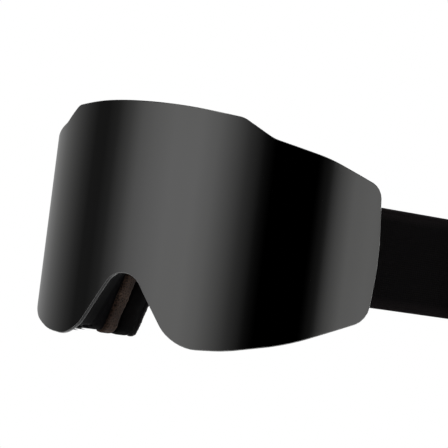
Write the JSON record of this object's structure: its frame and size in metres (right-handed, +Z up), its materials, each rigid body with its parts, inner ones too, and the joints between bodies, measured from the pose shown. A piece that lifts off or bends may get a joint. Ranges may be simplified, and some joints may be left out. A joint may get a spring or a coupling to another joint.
{
  "type": "ski goggles",
  "caption": "Frameless ski goggles with a cylindrical dark mirror lens on magnets, a soft face frame with layered foam, hinged strap links and an elastic strap.",
  "frame": {"origin": "middle of the face seat: the brow point of the foam, on the symmetry plane at eye level", "axes": "+Z up, +Y from the lens into the wearer's face, +X to the wearer's left"},
  "size_m": [0.1818, 0.2337, 0.1003],
  "materials": {
    "mirror_lens": "dark smoked mirror coating on polycarbonate",
    "clear_lens": "clear anti-fog inner lens",
    "spacer_foam": "dense EVA foam tape",
    "carrier_nylon": "moulded nylon",
    "magnet_nickel": "nickel-plated magnet",
    "rim_nylon": "moulded nylon",
    "frame_tpu": "soft matt polyurethane",
    "vent_mesh": "open mesh foam",
    "open_cell_foam": "coarse open-cell foam, brown-grey",
    "soft_foam": "fine soft foam, black",
    "fleece": "brushed micro fleece, black",
    "outrigger_nylon": "moulded nylon",
    "pin_steel": "stainless pin",
    "strap_webbing": "knitted elastic webbing, near black",
    "slider_acetal": "moulded acetal",
    "grip_silicone": "silicone bead"
  },
  "bodies": {
    "frame": {"frame_rim": "rim_nylon", "frame_magnets": "magnet_nickel", "face_frame": "frame_tpu", "top_vent_foam": "vent_mesh", "left_vent_foam": "vent_mesh", "right_vent_foam": "vent_mesh", "foam_base": "open_cell_foam", "foam_cushion": "soft_foam", "foam_fleece": "fleece", "left_outrigger_pin": "pin_steel", "right_outrigger_pin": "pin_steel", "strap_band": "strap_webbing", "strap_grip_lines": "grip_silicone"},
    "lens": {"outer_lens": "mirror_lens", "inner_lens": "clear_lens", "lens_spacer_foam": "spacer_foam", "lens_carrier": "carrier_nylon", "lens_magnets": "magnet_nickel"},
    "left_outrigger": {"left_outrigger": "outrigger_nylon", "left_strap_lead": "strap_webbing"},
    "right_outrigger": {"right_outrigger": "outrigger_nylon", "right_strap_lead": "strap_webbing"},
    "left_slider": {"left_slider": "slider_acetal", "left_strap_tail": "strap_webbing"},
    "right_slider": {"right_slider": "slider_acetal", "right_strap_tail": "strap_webbing"}
  },
  "joints": [
    {"name": "lens_pull", "type": "slide", "parent": "frame", "child": "lens", "axis": [0, -1, 0], "range_m": [0, 0.06]},
    {"name": "left_outrigger_hinge", "type": "hinge", "parent": "frame", "child": "left_outrigger", "pos_m": [0.07877, 0.01127, -0.0086], "axis": [0, 0, -1], "range_deg": [-4, 20]},
    {"name": "right_outrigger_hinge", "type": "hinge", "parent": "frame", "child": "right_outrigger", "pos_m": [-0.07877, 0.01127, -0.0086], "axis": [0, 0, 1], "range_deg": [-4, 20]},
    {"name": "left_slider_slide", "type": "slide", "parent": "frame", "child": "left_slider", "axis": [0.0698, 0.9965, 0.047], "range_m": [0, 0.03]},
    {"name": "right_slider_slide", "type": "slide", "parent": "frame", "child": "right_slider", "axis": [-0.0698, 0.9965, 0.047], "range_m": [0, 0.03]}
  ]
}
